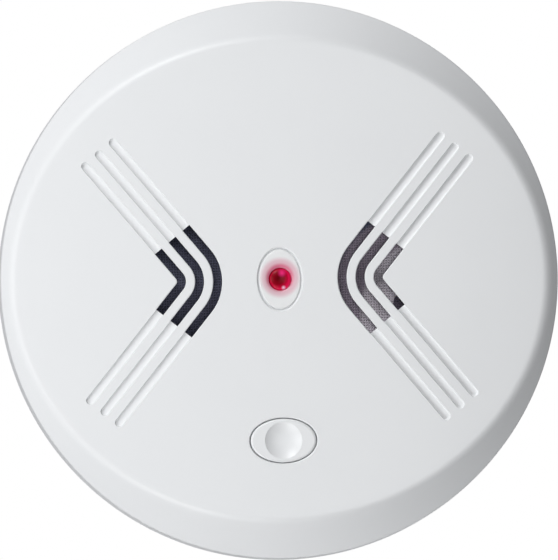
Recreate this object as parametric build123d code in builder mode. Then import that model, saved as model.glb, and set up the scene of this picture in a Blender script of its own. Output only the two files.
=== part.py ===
from build123d import *
from math import cos, hypot, radians, sin, sqrt
import os

os.makedirs("parts", exist_ok=True)

# A round ceiling smoke detector, lying on its mounting face. Origin at the middle of that face,
# +Z out through the front, -Y towards the test button. Millimetres.

# ---- outer case -------------------------------------------------------------------------
case_radius = 60.0
case_height = 40.0  # mounting face to the crest of the front face
crown_fall = 6.2748  # of the front face, a slice of a cylinder lying along Y, out to the case's side
bevel_width = 8.04  # of the 45 degree bevel, where the crest of the crown runs into it
wall = 2.0  # front cover
face_edge_round = 2.3  # face to bevel
rim_round = 0.8  # bevel to side
skirt_edge_round = 0.3

# ---- mounting plate ---------------------------------------------------------------------
plate_web = 1.8
plate_inset = 4.5  # plate's edge in from the case's side
plate_ring_width = 3.0
plate_ring_height = 4.2
screw_slot_width = 4.4
screw_slot_length = 9.0
screw_slot_spacing = 60.0
cross_slot_spacing = 70.0
hook_angles = (10, 170, 270)  # uneven, so the detector goes on one way only
hook_half_angle = 5.0
hook_inset = 5.5  # inner face of the hooks in from the plate's edge
hook_stem = 1.6
hook_lip = 1.8
hook_lip_height = 1.6
twist_angle = 15.0
twist_clearance = 0.3  # between the plate and the detector that turns on it
slot_play = 0.6  # degrees, each side of a hook

# ---- rear housing -----------------------------------------------------------------------
floor_thickness = 2.0
split_height = 11.0  # lower edge of the front cover
shadow_gap = 0.6  # between housing and cover
shadow_step = 0.6  # housing side set back from the cover's side
lip_height = 3.0  # of the lip that stands inside the cover
lip_wall = 1.2
seat_clearance = 0.2  # lip to cover, and other fixed parts side by side

# ---- case screws and their bosses -------------------------------------------------------
boss_lip_gap = 0.3  # boss to the inside of the housing's lip
boss_radius = 2.8
boss_angles = (45, 135, 225, 315)
pillar_radius = 3.5
pillar_height = 7.2  # above the housing floor
case_screw_radius = 1.3
case_screw_length = 16.0
case_head_radius = 2.4
case_head_height = 2.0
case_head_sink = 1.0  # head below the housing's rear face
cross_width, cross_length, cross_depth = 0.7, 3.2, 1.0  # drive in a case screw's head
screw_clearance = 0.05  # thread to plastic
head_clearance = 0.3

# ---- circuit board ----------------------------------------------------------------------
board_gap = 0.6  # edge of the board to the screw pillars
board_thickness = 1.6
board_lift = 4.5  # housing floor to the underside of the board
board_posts = ((-34, 24), (34, 24), (-26, -36), (26, -36))
post_radius = 3.0
board_screw_radius = 1.1
board_screw_length = 4.9
board_head_radius = 2.3
board_head_height = 1.5
board_cross_width, board_cross_length, board_cross_depth = 0.6, 3.0, 0.8
post_floor = 1.0  # solid foot of a post under its screw hole

# ---- chevrons in the front face ---------------------------------------------------------
bend_centre = 23.1  # from the middle of the face
bend_radii = (9.7, 5.8, 1.9)
arm_angle = 50.7
slot_width = 1.95
groove_lap = 0.5  # grooves start inside the open slots
slot_reach = 6.95  # open slot, past the bend
groove_reach = 32.0  # blind groove, past the bend
groove_depth = 0.95
groove_floor_round = 0.55

# ---- status light -----------------------------------------------------------------------
bezel_width, bezel_length = 8.3, 12.2
moat_width = 0.9
moat_depth = 1.1
bezel_drop = 0.15  # top of the bezel below the crest
bezel_edge_round = 0.45
led_radius = 2.5
led_body_height = 8.6
led_flange_rim = 0.4  # flange beyond the light's side
led_flange_height = 1.0
led_tip_drop = 0.1  # dome below the crest
led_clearance = 0.15
lead_side = 0.5
lead_pitch = 2.54
lead_tail = 1.2  # below the board
spacer_radius = 3.2
spacer_bore = 1.9

# ---- test button ------------------------------------------------------------------------
button_y = -34.75
button_width, button_length = 14.0, 9.3
button_gap = 0.3
button_travel = 1.0
button_edge_round = 0.6
hole_edge_round = 0.4
button_flange_rim = 1.6  # flange beyond the button's outline
button_flange_thickness = 1.2
button_flange_drop = 0.35  # below the crest of the inside face, which curves down beside it
button_stem_radius = 2.5
dimple_radius = 4.05
dimple_depth = 0.9
spring_inner_radius = 3.0
spring_outer_radius = 3.9
guide_radius = 5.6
guide_wall = 1.2
guide_height = 12.0
guide_bore_clearance = 0.08
switch_side = 6.0
switch_height = 3.6
plunger_radius = 1.75
plunger_reach = 1.2  # above the switch
plunger_depth = 1.6  # inside the switch
plunger_clearance = 0.08
press_gap = 0.05  # stem to plunger

# ---- optical smoke chamber --------------------------------------------------------------
chamber_x, chamber_y = -29.0, -1.5
chamber_radius = 18.5
chamber_base_height = 3.6
chamber_roof_drop = 6.4  # top of the chamber below the crest of the inside face
chamber_cap_thickness = 1.6
vane_count = 18
vane_inner_radius = 13.4
vane_thickness = 0.9
vane_slant = 38
vane_start = 10
screen_thickness = 0.3
screen_gap = 0.1  # below the inside of the face
screen_inner_x, screen_outer_x, screen_half_y = 9.0, 31.5, 15.5  # of each screen behind the slots
screen_corner = 2.0
optic_radius = 2.5
optic_height = 9.4  # optical axis above the board
optic_distance = 8.5  # lens tip from the middle of the chamber
optic_length = 6.0
optic_angles = (205, 335)
optic_wall = 1.3
optic_flange = 1.0

# ---- sounder ----------------------------------------------------------------------------
sounder_x, sounder_y = 29.0, -1.5
sounder_radius = 19.0
sounder_wall = 1.4
sounder_base_height = 7.0
sounder_roof_drop = 5.8  # top of the sounder below the crest of the inside face
sound_hole_radius = 5.0
disc_radius = 17.2
disc_thickness = 0.3
ceramic_radius = 11.5
ceramic_thickness = 0.25
disc_cover_recess = 0.1  # of the disc's edge into the sounder's cap
cap_chamfer = 0.8
disc_ledge = 1.6
contact_radius = 0.7
sounder_contact_points = ((-14.0, 0), (0, 9.5), (8.2, -4.8))

# ---- battery ----------------------------------------------------------------------------
battery_y = 34.75
battery_length, battery_width, battery_depth = 46.4, 26.2, 17.2
battery_left = -24.2
battery_recess = 0.5  # rear face of the battery inside the housing
battery_clearance = 0.4
battery_edge_round = 1.6
well_wall = 1.4
terminal_pitch = 12.7
terminal_height = 2.6
terminal_radii = (2.9, 3.8)
contact_width = 5.0
contact_thickness = 0.4
contact_foot = 4.1
contact_tail_rise = 2.2  # above the board
lead_start_gap = 0.02  # end of a lead to its contact
contact_gap = 0.1  # contact to terminal
contact_loop = 1.1  # from a contact's face to its riser
lead_radius = 0.6
lead_rise = 1.4  # axis of a lead above the board
lead_bend = 1.3
lead_pads = ((35.5, 28.4), (33.6, 32.4))

# ---- components on the board ------------------------------------------------------------
wire_radius = 0.3
chip_place = (-19.0, -28.6)
chip_length, chip_width, chip_thickness = 19.3, 6.4, 3.4
chip_standoff = 0.5
chip_notch_radius = 0.9
pins_per_side = 8
pin_pitch, pin_width, pin_thickness, pin_reach = 2.54, 0.9, 0.25, 0.9
can_places = ((13.2, -27.5), (21.4, -28.5))
can_radius, can_height = 3.15, 11.0
lens_places = ((-7.0, 12.5), (0.5, 14.5), (8.0, 12.5))
lens_radius, lens_thickness, lens_standoff = 2.6, 2.2, 1.0
transistor_places = ((-6.0, -40.5), (8.6, -41.5))
transistor_radius, transistor_height, transistor_standoff = 2.3, 4.6, 1.6
resistor_places = tuple((x, -17.5) for x in (-7.6, -3.8, 0, 3.8, 7.6))
resistor_radius, resistor_length, resistor_wire = 1.15, 6.3, 1.2
coil_place = (31.5, -27.0)
coil_flange_radius, coil_core_radius, coil_winding_radius = 4.0, 2.0, 3.7
coil_height, coil_flange = 9.5, 1.2

# ---- sizes and heights that follow ------------------------------------------------------
crown_radius = (case_radius**2 + crown_fall**2) / (2 * crown_fall)
plate_radius = case_radius - plate_inset
hook_inner_radius = plate_radius - hook_inset
housing_bottom = plate_ring_height + twist_clearance
floor_top = housing_bottom + floor_thickness
board_bottom = floor_top + board_lift
board_top = board_bottom + board_thickness
rim_height = case_height - bevel_width
inner_face = case_height - wall
housing_side_top = split_height - shadow_gap
lip_radius = case_radius - wall - seat_clearance
pillar_top = floor_top + pillar_height
boss_circle = lip_radius - lip_wall - boss_lip_gap - boss_radius
board_radius = boss_circle - pillar_radius - board_gap
led_flange_radius = led_radius + led_flange_rim
boss_bottom = pillar_top + seat_clearance
battery_bottom = housing_bottom + battery_recess
battery_right = battery_left + battery_length
terminal_z = battery_bottom + battery_depth / 2
terminal_points = [battery_y + side * terminal_pitch / 2 for side in (-1, 1)]
contact_face_x = battery_right + terminal_height + contact_gap
contact_riser_x = contact_face_x + contact_loop
contact_tail_x = contact_riser_x + contact_foot
contact_top = terminal_z + contact_width
contact_low = terminal_z - contact_width
contact_tail_top = board_top + contact_tail_rise


def crown(radius):
    """The solid cylinder, along Y, whose top is the front face or a surface parallel to it."""
    with BuildPart(mode=Mode.PRIVATE) as cylinder:
        with BuildSketch(Plane.XZ):
            with Locations((0, case_height - crown_radius)):
                Circle(radius)
        extrude(amount=1.3 * case_radius, both=True)
    return cylinder.part


def domed_case(inset, bottom):
    """The case's outer shape, all its surfaces moved inwards by inset, down to the height bottom."""
    radius = case_radius - inset
    corner = rim_height - inset * (sqrt(2) - 1)
    rise = radius / 2
    with BuildPart(mode=Mode.PRIVATE) as shape:
        with BuildSketch(Plane.XZ):
            with BuildLine():
                Polyline(
                    (0, bottom),
                    (radius, bottom),
                    (radius, corner),
                    (radius - rise, corner + rise),
                    (0, corner + rise),
                    close=True,
                )
            make_face()
        revolve(axis=Axis.Z)
        add(crown(crown_radius - inset), mode=Mode.INTERSECT)
    return shape.part


def ring_sector(inner, outer, start, end):
    """A piece of a flat ring, between two angles in degrees."""
    with BuildSketch(mode=Mode.PRIVATE) as piece:
        with BuildLine():
            CenterArc((0, 0), outer, start, end - start)
            CenterArc((0, 0), inner, start, end - start)
            for angle in (start, end):
                foot = (inner * cos(radians(angle)), inner * sin(radians(angle)))
                PolarLine(foot, outer - inner, angle)
        make_face()
    return piece.sketch


def bend_feet():
    """Where each arm leaves its bend, and the way it runs, for the group on the +X side."""
    for radius in bend_radii:
        for side in (1, -1):
            x = bend_centre - radius * sin(radians(arm_angle))
            y = side * radius * cos(radians(arm_angle))
            yield Location((x, y, 0), (0, 0, side * arm_angle))


def on_crown(edge, radius):
    """True for an edge whose middle lies on the crown of that radius."""
    middle = edge @ 0.5
    reach = hypot(middle.X, middle.Z - case_height + crown_radius)
    return abs(reach - radius) < 0.02


def keep(builder, label):
    builder.part.label = label
    export_step(builder.part, f"parts/{label}.step")


def polar(radius, angle):
    return (radius * cos(radians(angle)), radius * sin(radians(angle)))


# ---- mounting plate: a web, a raised ring and the bayonet hooks ---------------------------
hook_window = hook_half_angle + slot_play
hook_underside = floor_top + twist_clearance
lip_radius_outer = hook_inner_radius + hook_stem + hook_lip

with BuildPart() as mounting_plate:
    with BuildSketch(Plane.XY):
        Circle(plate_radius)
        with GridLocations(screw_slot_spacing, 0, 2, 1):
            SlotOverall(screw_slot_length, screw_slot_width, mode=Mode.SUBTRACT)
        with GridLocations(0, cross_slot_spacing, 1, 2):
            SlotOverall(screw_slot_length, screw_slot_width, rotation=90, mode=Mode.SUBTRACT)
    extrude(amount=plate_web)
    with BuildSketch(Plane.XY):
        Circle(plate_radius)
        Circle(plate_radius - plate_ring_width, mode=Mode.SUBTRACT)
    extrude(amount=plate_ring_height)
    with BuildSketch(Plane.XY.offset(plate_web)):
        for angle in hook_angles:
            stem_outer = hook_inner_radius + hook_stem
            start, end = angle - hook_half_angle, angle + hook_half_angle
            add(ring_sector(hook_inner_radius, stem_outer, start, end))
    extrude(amount=hook_underside + hook_lip_height - plate_web)
    with BuildSketch(Plane.XY.offset(hook_underside)):
        for angle in hook_angles:
            start, end = angle - hook_half_angle, angle + hook_half_angle
            add(ring_sector(hook_inner_radius, lip_radius_outer, start, end))
    extrude(amount=hook_lip_height)
keep(mounting_plate, "mounting_plate")

# ---- rear housing -------------------------------------------------------------------------
housing_radius = case_radius - shadow_step
well_inner_left = battery_left - battery_clearance
well_inner_right = battery_left + battery_length + terminal_height + battery_clearance
well_inner_width = battery_width + 2 * battery_clearance
well_inner_depth = battery_recess + battery_depth + battery_clearance
well_mid_x = (well_inner_left + well_inner_right) / 2
well_length = well_inner_right - well_inner_left

with BuildPart() as rear_housing:
    with BuildSketch(Plane.XY.offset(housing_bottom)):
        Circle(housing_radius)
    extrude(amount=floor_thickness)
    with BuildSketch(Plane.XY.offset(housing_bottom)):
        Circle(housing_radius)
        Circle(lip_radius - lip_wall, mode=Mode.SUBTRACT)
    extrude(amount=housing_side_top - housing_bottom)
    with BuildSketch(Plane.XY.offset(housing_side_top)):
        Circle(lip_radius)
        Circle(lip_radius - lip_wall, mode=Mode.SUBTRACT)
    extrude(amount=split_height + lip_height - housing_side_top)
    # battery well, open to the rear and at its contact end
    with BuildSketch(Plane.XY.offset(floor_top)):
        with Locations((well_mid_x - well_wall / 2, battery_y)):
            Rectangle(well_length + well_wall, well_inner_width + 2 * well_wall)
    extrude(amount=housing_bottom + well_inner_depth + well_wall - floor_top)
    with BuildSketch(Plane.XY.offset(housing_bottom)):
        with Locations((well_mid_x, battery_y)):
            Rectangle(well_length, well_inner_width)
    extrude(amount=well_inner_depth, mode=Mode.SUBTRACT)
    with BuildSketch(Plane.XY.offset(floor_top)):
        with Locations((well_inner_right, battery_y)):
            Rectangle(2 * well_wall, well_inner_width)
    extrude(amount=housing_bottom + well_inner_depth - floor_top, mode=Mode.SUBTRACT)
    # board posts and screw pillars
    with BuildSketch(Plane.XY.offset(floor_top)):
        with Locations(*board_posts):
            Circle(post_radius)
    extrude(amount=board_lift)
    with BuildSketch(Plane.XY.offset(floor_top)):
        with PolarLocations(boss_circle, 4, start_angle=boss_angles[0]):
            Circle(pillar_radius)
    extrude(amount=pillar_height)
    with BuildSketch(Plane.XY.offset(floor_top + post_floor)):
        with Locations(*board_posts):
            Circle(board_screw_radius + screw_clearance)
    extrude(amount=board_lift, mode=Mode.SUBTRACT)
    with BuildSketch(Plane.XY.offset(housing_bottom)):
        with PolarLocations(boss_circle, 4, start_angle=boss_angles[0]):
            Circle(case_screw_radius + head_clearance)
    extrude(amount=floor_thickness + pillar_height, mode=Mode.SUBTRACT)
    with BuildSketch(Plane.XY.offset(housing_bottom)):
        with PolarLocations(boss_circle, 4, start_angle=boss_angles[0]):
            Circle(case_head_radius + head_clearance)
    extrude(amount=case_head_height + case_head_sink, mode=Mode.SUBTRACT)
    # bayonet windows: a wide part that lets a lip in, and a narrow part that holds it
    with BuildSketch(Plane.XY.offset(housing_bottom)):
        for angle in hook_angles:
            narrow_inner = hook_inner_radius - twist_clearance
            narrow_outer = hook_inner_radius + hook_stem + twist_clearance
            wide_outer = lip_radius_outer + twist_clearance
            end = angle - twist_angle
            add(ring_sector(narrow_inner, narrow_outer, end - hook_window, angle + hook_window))
            add(ring_sector(narrow_inner, wide_outer, end - hook_window, end + hook_window))
    extrude(amount=floor_thickness, mode=Mode.SUBTRACT)
    rear_circles = rear_housing.edges().filter_by(GeomType.CIRCLE).group_by(Axis.Z)[0]
    fillet(rear_circles.sort_by(SortBy.LENGTH)[-1], rim_round)
keep(rear_housing, "rear_housing")

# ---- front cover --------------------------------------------------------------------------
# The blind grooves reach one depth below the curved face everywhere.
groove_floor_radius = crown_radius - groove_depth
groove_length = groove_reach - slot_width / 2 - slot_reach + groove_lap
with BuildPart() as grooves:
    with BuildSketch(Plane.XY.offset(case_height / 2)):
        for foot in bend_feet():
            with Locations(foot * Location((slot_reach - groove_lap, 0, 0))):
                Rectangle(groove_length, slot_width, align=(Align.MIN, Align.CENTER))
                with Locations((groove_length, 0)):
                    Circle(slot_width / 2)
        mirror(about=Plane.YZ)
    extrude(amount=case_height)
    add(crown(groove_floor_radius), mode=Mode.SUBTRACT)
    floor_edges = [e for e in grooves.edges() if on_crown(e, groove_floor_radius)]
    fillet([e for e in floor_edges if e.length > 1.2 * slot_width], groove_floor_round)

with BuildPart() as slots:
    with BuildSketch(Plane.XY.offset(case_height / 2)):
        half_bend = 90 - arm_angle
        for radius in bend_radii:
            inner, outer = radius - slot_width / 2, radius + slot_width / 2
            with Locations((bend_centre, 0)):
                add(ring_sector(inner, outer, 180 - half_bend, 180 + half_bend))
        for foot in bend_feet():
            with Locations(foot):
                Rectangle(slot_reach, slot_width, align=(Align.MIN, Align.CENTER))
        mirror(about=Plane.YZ)
    extrude(amount=case_height)
    add(grooves.part)

button_hole = (button_width / 2 + button_gap, button_length / 2 + button_gap)
moat_outer = (bezel_width / 2 + moat_width, bezel_length / 2 + moat_width)

with BuildPart() as front_cover:
    add(domed_case(0, split_height))
    face_edge = front_cover.edges().filter_by_position(Axis.Z, rim_height + 0.5, case_height)
    fillet(face_edge, face_edge_round)
    fillet(front_cover.edges().filter_by(GeomType.CIRCLE).group_by(Axis.Z)[-1], rim_round)
    fillet(front_cover.edges().filter_by(GeomType.CIRCLE).group_by(Axis.Z)[0], skirt_edge_round)
    plain_edges = front_cover.edges()
    with BuildSketch(Plane.XY.offset(case_height - moat_depth)):
        Ellipse(*moat_outer)
    extrude(amount=2 * moat_depth, mode=Mode.SUBTRACT)
    with BuildSketch(Plane.XY.offset(inner_face - wall)):
        with Locations((0, button_y)):
            Ellipse(*button_hole)
    extrude(amount=3 * wall, mode=Mode.SUBTRACT)
    mouths = [e for e in front_cover.edges() - plain_edges if on_crown(e, crown_radius)]
    fillet(mouths, hole_edge_round)
    add(slots.part, mode=Mode.SUBTRACT)
    add(domed_case(wall, split_height - 1), mode=Mode.SUBTRACT)
    with BuildSketch(Plane.XY.offset(inner_face - wall)):
        Circle(led_radius + led_clearance)
    extrude(amount=3 * wall, mode=Mode.SUBTRACT)
    # screw bosses, up into the bevel
    with BuildSketch(Plane.XY.offset(boss_bottom)):
        with PolarLocations(boss_circle, 4, start_angle=boss_angles[0]):
            Circle(boss_radius)
    extrude(amount=rim_height + 1.5 * wall - boss_bottom)
    with BuildSketch(Plane.XY.offset(boss_bottom)):
        with PolarLocations(boss_circle, 4, start_angle=boss_angles[0]):
            Circle(case_screw_radius + screw_clearance)
    extrude(amount=case_screw_length, mode=Mode.SUBTRACT)
keep(front_cover, "front_cover")

# ---- status light -------------------------------------------------------------------------
bezel_top = case_height - bezel_drop
moat_floor = case_height - moat_depth
led_tip = case_height - led_tip_drop
led_base = led_tip - led_body_height

with BuildPart() as led_bezel:
    with BuildSketch(Plane.XY.offset(moat_floor)):
        Ellipse(bezel_width / 2, bezel_length / 2)
        Circle(led_radius + led_clearance, mode=Mode.SUBTRACT)
    extrude(amount=bezel_top - moat_floor)
    fillet(led_bezel.edges().group_by(Axis.Z)[-1], bezel_edge_round)
keep(led_bezel, "led_bezel")

with BuildPart() as status_led:
    with BuildSketch(Plane.XZ):
        with BuildLine():
            dome_start = led_tip - led_radius
            Polyline(
                (0, led_base),
                (led_flange_radius, led_base),
                (led_flange_radius, led_base + led_flange_height),
                (led_radius, led_base + led_flange_height),
                (led_radius, dome_start),
            )
            CenterArc((0, dome_start), led_radius, 0, 90)
            Line((0, led_tip), (0, led_base))
        make_face()
    revolve(axis=Axis.Z)
keep(status_led, "status_led")

with BuildPart() as led_leads:
    with BuildSketch(Plane.XY.offset(board_bottom - lead_tail)):
        with GridLocations(lead_pitch, 0, 2, 1):
            Rectangle(lead_side, lead_side)
    extrude(amount=led_base - board_bottom + lead_tail)
keep(led_leads, "led_leads")

with BuildPart() as led_spacer:
    with BuildSketch(Plane.XY.offset(board_top)):
        Circle(spacer_radius)
        Circle(spacer_bore, mode=Mode.SUBTRACT)
    extrude(amount=led_base - board_top)
keep(led_spacer, "led_spacer")

# ---- screens behind the slots, parallel to the face ---------------------------------------
for side, label in ((-1, "left_slot_screen"), (1, "right_slot_screen")):
    with BuildPart() as slot_screen:
        with BuildSketch(Plane.XY.offset(case_height / 2)):
            with Locations((side * (screen_inner_x + screen_outer_x) / 2, 0)):
                RectangleRounded(screen_outer_x - screen_inner_x, 2 * screen_half_y, screen_corner)
        extrude(amount=case_height)
        add(crown(crown_radius - wall - screen_gap), mode=Mode.INTERSECT)
        add(crown(crown_radius - wall - screen_gap - screen_thickness), mode=Mode.SUBTRACT)
    keep(slot_screen, label)

# ---- test button, its spring, guide and switch ----------------------------------------------
flange_top = case_height - wall - button_flange_drop
flange_bottom = flange_top - button_flange_thickness
guide_top = board_top + guide_height
switch_top = board_top + switch_height
plunger_top = switch_top + plunger_reach
stem_bottom = plunger_top + press_gap
dimple_sphere = (dimple_radius**2 + dimple_depth**2) / (2 * dimple_depth)
flange_outline = (button_width / 2 + button_flange_rim, button_length / 2 + button_flange_rim)

with BuildPart() as test_button:
    with BuildSketch(Plane.XY.offset(flange_top)):
        with Locations((0, button_y)):
            Ellipse(button_width / 2, button_length / 2)
    extrude(amount=case_height - flange_top)
    fillet(test_button.edges().group_by(Axis.Z)[-1], button_edge_round)
    with BuildSketch(Plane.XY.offset(flange_bottom)):
        with Locations((0, button_y)):
            Ellipse(*flange_outline)
    extrude(amount=button_flange_thickness)
    with BuildSketch(Plane.XY.offset(stem_bottom)):
        with Locations((0, button_y)):
            Circle(button_stem_radius)
    extrude(amount=flange_bottom - stem_bottom)
    with Locations((0, button_y, case_height - dimple_depth + dimple_sphere)):
        Sphere(dimple_sphere, mode=Mode.SUBTRACT)
keep(test_button, "test_button")

with BuildPart() as button_spring:
    with BuildSketch(Plane.XY.offset(guide_top)):
        with Locations((0, button_y)):
            Circle(spring_outer_radius)
            Circle(spring_inner_radius, mode=Mode.SUBTRACT)
    extrude(amount=flange_bottom - guide_top)
keep(button_spring, "button_spring")

with BuildPart() as button_guide:
    with BuildSketch(Plane.XY.offset(board_top)):
        with Locations((0, button_y)):
            Circle(guide_radius)
    extrude(amount=guide_height)
    with BuildSketch(Plane.XY.offset(board_top)):
        with Locations((0, button_y)):
            Circle(guide_radius - guide_wall)
    extrude(amount=guide_height - guide_wall, mode=Mode.SUBTRACT)
    with BuildSketch(Plane.XY.offset(board_top)):
        with Locations((0, button_y)):
            Circle(button_stem_radius + guide_bore_clearance)
    extrude(amount=guide_height, mode=Mode.SUBTRACT)
keep(button_guide, "button_guide")

with BuildPart() as switch_body:
    with BuildSketch(Plane.XY.offset(board_top)):
        with Locations((0, button_y)):
            RectangleRounded(switch_side, switch_side, 0.6)
    extrude(amount=switch_height)
    with BuildSketch(Plane.XY.offset(switch_top)):
        with Locations((0, button_y)):
            Circle(plunger_radius + plunger_clearance)
    extrude(amount=-(plunger_depth + 1.2 * button_travel), mode=Mode.SUBTRACT)
keep(switch_body, "switch_body")

with BuildPart() as switch_plunger:
    with BuildSketch(Plane.XY.offset(switch_top - plunger_depth)):
        with Locations((0, button_y)):
            Circle(plunger_radius)
    extrude(amount=plunger_depth + plunger_reach)
keep(switch_plunger, "switch_plunger")

# ---- circuit board --------------------------------------------------------------------------
board_cut_y = battery_y - well_inner_width / 2 - well_wall - seat_clearance
board_cut_left = well_inner_left - well_wall - seat_clearance
board_cut_right = contact_tail_x + contact_thickness + seat_clearance
lead_hole = lead_side / sqrt(2) + 0.1

with BuildPart() as circuit_board:
    with BuildSketch(Plane.XY.offset(board_bottom)):
        Circle(board_radius)
        with Locations(((board_cut_left + board_cut_right) / 2, board_cut_y)):
            cut_size = (board_cut_right - board_cut_left, board_radius)
            Rectangle(*cut_size, align=(Align.CENTER, Align.MIN), mode=Mode.SUBTRACT)
        with Locations(*board_posts):
            Circle(board_screw_radius + head_clearance, mode=Mode.SUBTRACT)
        with GridLocations(lead_pitch, 0, 2, 1):
            Circle(lead_hole, mode=Mode.SUBTRACT)
    extrude(amount=board_thickness)
keep(circuit_board, "circuit_board")

# ---- screws -----------------------------------------------------------------------------------
with BuildPart() as board_screws:
    with BuildSketch(Plane.XY.offset(board_top)):
        with Locations(*board_posts):
            Circle(board_head_radius)
    extrude(amount=board_head_height)
    with BuildSketch(Plane.XY.offset(board_top)):
        with Locations(*board_posts):
            Circle(board_screw_radius)
    extrude(amount=-board_screw_length)
    with BuildSketch(Plane.XY.offset(board_top + board_head_height)):
        with Locations(*board_posts):
            Rectangle(board_cross_length, board_cross_width)
            Rectangle(board_cross_width, board_cross_length)
    extrude(amount=-board_cross_depth, mode=Mode.SUBTRACT)
keep(board_screws, "board_screws")

head_seat = housing_bottom + case_head_height + case_head_sink
with BuildPart() as case_screws:
    with BuildSketch(Plane.XY.offset(head_seat)):
        with PolarLocations(boss_circle, 4, start_angle=boss_angles[0]):
            Circle(case_head_radius)
    extrude(amount=-case_head_height)
    with BuildSketch(Plane.XY.offset(head_seat)):
        with PolarLocations(boss_circle, 4, start_angle=boss_angles[0]):
            Circle(case_screw_radius)
    extrude(amount=case_screw_length)
    with BuildSketch(Plane.XY.offset(head_seat - case_head_height)):
        with PolarLocations(boss_circle, 4, start_angle=boss_angles[0]):
            Rectangle(cross_length, cross_width)
            Rectangle(cross_width, cross_length)
    extrude(amount=cross_depth, mode=Mode.SUBTRACT)
keep(case_screws, "case_screws")

# ---- optical smoke chamber --------------------------------------------------------------------
chamber_base_top = board_top + chamber_base_height
chamber_top = inner_face - chamber_roof_drop
vane_top = chamber_top - chamber_cap_thickness
optic_axis_z = board_top + optic_height
optic_holder_radius = optic_radius + optic_wall
screen_radius = chamber_radius + 0.1
emitter_angle, detector_angle = optic_angles


def optic_plane(angle):
    """Across the optical axis at the lens end, looking outwards from the middle of the chamber."""
    x, y = polar(optic_distance, angle)
    return Plane(
        origin=(chamber_x + x, chamber_y + y, optic_axis_z),
        x_dir=(-sin(radians(angle)), cos(radians(angle)), 0),
        z_dir=(cos(radians(angle)), sin(radians(angle)), 0),
    )


with BuildPart() as chamber_base:
    with BuildSketch(Plane.XY.offset(board_top)):
        with Locations((chamber_x, chamber_y)):
            Circle(chamber_radius)
    extrude(amount=chamber_base_height)
    for angle in optic_angles:
        x, y = polar(optic_distance + optic_length / 2, angle)
        with BuildSketch(Plane.XY.offset(chamber_base_top)):
            with Locations((chamber_x + x, chamber_y + y)):
                Rectangle(optic_length, 2 * optic_holder_radius, rotation=angle)
        extrude(amount=optic_axis_z - chamber_base_top)
        with BuildSketch(optic_plane(angle)):
            Circle(optic_holder_radius)
        extrude(amount=optic_length)
        with BuildSketch(optic_plane(angle)):
            Circle(optic_radius + seat_clearance / 2)
        extrude(amount=optic_length, mode=Mode.SUBTRACT)
    # light trap: a shallow dish in the middle
    with BuildSketch(Plane.XY.offset(chamber_base_top)):
        with Locations((chamber_x, chamber_y)):
            Circle(optic_distance - 1.5)
    extrude(amount=-chamber_base_height / 2, mode=Mode.SUBTRACT)
keep(chamber_base, "chamber_base")

with BuildPart() as chamber_cap:
    with BuildSketch(Plane.XY.offset(vane_top)):
        with Locations((chamber_x, chamber_y)):
            Circle(chamber_radius)
    extrude(amount=chamber_cap_thickness)
    chamfer(chamber_cap.edges().group_by(Axis.Z)[-1], 0.5)
    vane_length = chamber_radius - vane_inner_radius - 0.4
    vane_middle = (chamber_radius + vane_inner_radius) / 2
    with BuildSketch(Plane.XY.offset(chamber_base_top)):
        with Locations((chamber_x, chamber_y)):
            with PolarLocations(vane_middle, vane_count, start_angle=vane_start):
                Rectangle(vane_length, vane_thickness, rotation=vane_slant)
    extrude(amount=vane_top - chamber_base_top)
    # room for the two optical holders
    holder_length = optic_length + optic_flange
    holder_top = optic_axis_z + optic_holder_radius + seat_clearance
    for angle in optic_angles:
        x, y = polar(optic_distance + holder_length / 2, angle)
        with BuildSketch(Plane.XY.offset(chamber_base_top)):
            with Locations((chamber_x + x, chamber_y + y)):
                side = 2 * (optic_holder_radius + seat_clearance)
                Rectangle(holder_length + 2 * seat_clearance, side, rotation=angle)
        extrude(amount=holder_top - chamber_base_top, mode=Mode.SUBTRACT)
keep(chamber_cap, "chamber_cap")

with BuildPart() as chamber_screen:
    with BuildSketch(Plane.XY.offset(chamber_base_top - 1)):
        with Locations((chamber_x, chamber_y)):
            Circle(screen_radius + screen_thickness)
            Circle(screen_radius, mode=Mode.SUBTRACT)
    extrude(amount=vane_top + 0.8 - chamber_base_top + 1)
keep(chamber_screen, "chamber_screen")

for angle, label in ((emitter_angle, "infrared_emitter"), (detector_angle, "photodiode")):
    with BuildPart() as optic:
        with BuildSketch(optic_plane(angle)):
            Circle(optic_radius)
        extrude(amount=optic_length)
        with BuildSketch(optic_plane(angle).offset(optic_length)):
            Circle(optic_holder_radius)
        extrude(amount=optic_flange)
    keep(optic, label)

# ---- sounder ------------------------------------------------------------------------------------
sounder_split = board_top + sounder_base_height
sounder_top = inner_face - sounder_roof_drop
disc_bottom = sounder_split + disc_cover_recess - disc_thickness

with BuildPart() as sounder_base:
    with BuildSketch(Plane.XY.offset(board_top)):
        with Locations((sounder_x, sounder_y)):
            Circle(sounder_radius)
    extrude(amount=sounder_base_height)
    with BuildSketch(Plane.XY.offset(board_top + sounder_wall)):
        with Locations((sounder_x, sounder_y)):
            Circle(disc_radius - disc_ledge)
    extrude(amount=sounder_base_height, mode=Mode.SUBTRACT)
    with BuildSketch(Plane.XY.offset(disc_bottom)):
        with Locations((sounder_x, sounder_y)):
            Circle(disc_radius + seat_clearance / 2)
    extrude(amount=sounder_base_height, mode=Mode.SUBTRACT)
    with BuildSketch(Plane.XY.offset(board_top)):
        with Locations((sounder_x, sounder_y)):
            with Locations(*sounder_contact_points):
                Circle(contact_radius + 0.5)
    extrude(amount=2 * sounder_wall, mode=Mode.SUBTRACT)
keep(sounder_base, "sounder_base")

with BuildPart() as brass_disc:
    with BuildSketch(Plane.XY.offset(disc_bottom)):
        with Locations((sounder_x, sounder_y)):
            Circle(disc_radius)
    extrude(amount=disc_thickness)
keep(brass_disc, "brass_disc")

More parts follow.
